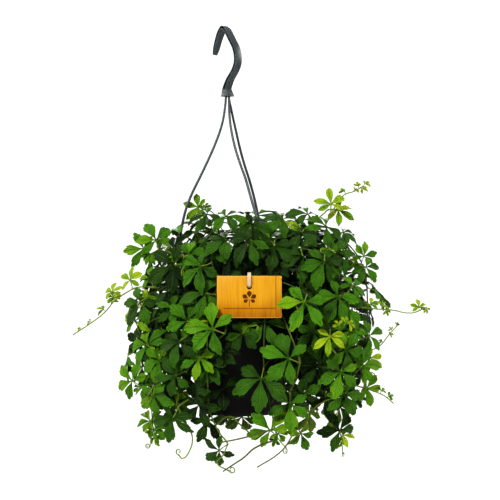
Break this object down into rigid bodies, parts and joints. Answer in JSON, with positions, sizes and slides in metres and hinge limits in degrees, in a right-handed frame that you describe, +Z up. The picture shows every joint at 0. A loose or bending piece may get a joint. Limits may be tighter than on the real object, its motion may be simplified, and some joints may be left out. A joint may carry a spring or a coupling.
{
  "type": "potted hanging vine",
  "caption": "Leafy trailing vine with five-part leaves, spilling over a black plastic pot that hangs from a hook on thin arms, with a wood-look hang tag.",
  "frame": {"origin": "the seat of the hook, the point inside its bend that rests on whatever the plant hangs from", "axes": "+Z up; the tag faces -Y and +X is to the right of it; the hook's plane is turned 45 degrees about Z"},
  "size_m": [0.4371, 0.28, 0.5442],
  "materials": {
    "pot_plastic": "satin black",
    "hanger_plastic": "satin dark grey",
    "soil": "rough, dark brown",
    "card": "printed wood grain, satin",
    "tie": "cream, matt",
    "foliage": "waxy green leaves"
  },
  "bodies": {
    "root": {"pot": "pot_plastic", "soil": "soil", "hook": "hanger_plastic", "arm_1": "hanger_plastic", "arm_2": "hanger_plastic", "arm_3": "hanger_plastic", "tag": "card", "tag_tie": "tie", "vine_1": "foliage", "vine_2": "foliage", "vine_3": "foliage", "vine_4": "foliage", "vine_5": "foliage", "vine_6": "foliage", "vine_7": "foliage", "vine_8": "foliage", "vine_9": "foliage", "vine_10": "foliage", "vine_11": "foliage", "vine_12": "foliage", "vine_13": "foliage", "vine_14": "foliage", "vine_15": "foliage", "vine_16": "foliage", "vine_17": "foliage", "vine_18": "foliage", "vine_19": "foliage", "vine_20": "foliage", "vine_21": "foliage", "vine_22": "foliage", "vine_23": "foliage", "vine_24": "foliage", "vine_25": "foliage", "vine_26": "foliage", "vine_27": "foliage", "vine_28": "foliage", "vine_29": "foliage", "vine_30": "foliage", "vine_31": "foliage", "vine_32": "foliage", "vine_33": "foliage", "vine_34": "foliage", "vine_35": "foliage", "vine_36": "foliage", "vine_37": "foliage", "vine_38": "foliage", "vine_39": "foliage", "vine_40": "foliage", "vine_41": "foliage", "vine_42": "foliage", "vine_43": "foliage", "vine_44": "foliage", "vine_45": "foliage", "vine_46": "foliage", "vine_47": "foliage", "vine_48": "foliage", "vine_49": "foliage", "vine_50": "foliage"}
  },
  "joints": []
}
